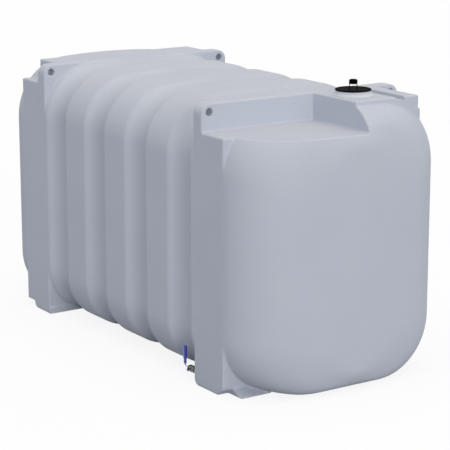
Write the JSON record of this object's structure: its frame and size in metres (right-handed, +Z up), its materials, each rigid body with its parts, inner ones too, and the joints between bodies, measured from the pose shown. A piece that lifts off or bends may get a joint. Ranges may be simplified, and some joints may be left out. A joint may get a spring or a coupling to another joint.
{
  "type": "drinking water tank",
  "caption": "Pale blue-grey moulded drinking water tank with ribbed sides, rounded ends, square corner lugs and feet, a black filler lid and a lever ball valve",
  "frame": {"origin": "on the ground under the middle of the tank's box", "axes": "X across the tank, with the outlet valve at -X; Y along it, with the filler end at -Y; Z up"},
  "size_m": [1.66, 3.6186, 2.065],
  "materials": {
    "tank_plastic": "satin",
    "neck_plastic": "satin",
    "lid_plastic": "satin",
    "valve_steel": "satin",
    "lever_steel": "satin",
    "sleeve_plastic": "gloss"
  },
  "bodies": {
    "tank": {"left_wall": "tank_plastic", "right_wall": "tank_plastic", "left_haunch": "tank_plastic", "right_haunch": "tank_plastic", "left_floor": "tank_plastic", "right_floor": "tank_plastic", "left_shoulder": "tank_plastic", "right_shoulder": "tank_plastic", "left_roof": "tank_plastic", "right_roof": "tank_plastic", "front_end": "tank_plastic", "rear_end": "tank_plastic", "front_crown": "tank_plastic", "filler_plate": "tank_plastic", "recess_floor": "tank_plastic", "recess_back": "tank_plastic", "recess_side": "tank_plastic", "front_deck": "tank_plastic", "rear_deck": "tank_plastic", "front_left_lug": "tank_plastic", "front_right_lug": "tank_plastic", "rear_left_lug": "tank_plastic", "rear_right_lug": "tank_plastic", "front_left_ledge": "tank_plastic", "front_right_ledge": "tank_plastic", "rear_left_ledge": "tank_plastic", "rear_right_ledge": "tank_plastic", "front_left_foot": "tank_plastic", "front_right_foot": "tank_plastic", "rear_left_foot": "tank_plastic", "rear_right_foot": "tank_plastic", "filler_neck": "neck_plastic", "outlet_nut": "valve_steel", "outlet_nipple": "valve_steel", "valve_body": "valve_steel"},
    "lid": {"filler_lid": "lid_plastic", "lid_vent": "lid_plastic"},
    "lever": {"valve_stem": "valve_steel", "valve_lever": "lever_steel", "lever_sleeve": "sleeve_plastic"}
  },
  "joints": [
    {"name": "lid_lift", "type": "slide", "parent": "tank", "child": "lid", "axis": [0, 0, 1], "range_m": [0, 0.15]},
    {"name": "valve_turn", "type": "hinge", "parent": "tank", "child": "lever", "pos_m": [-0.758, -0.914, 0.06], "axis": [-1, 0, 0], "range_deg": [0, 90]}
  ]
}
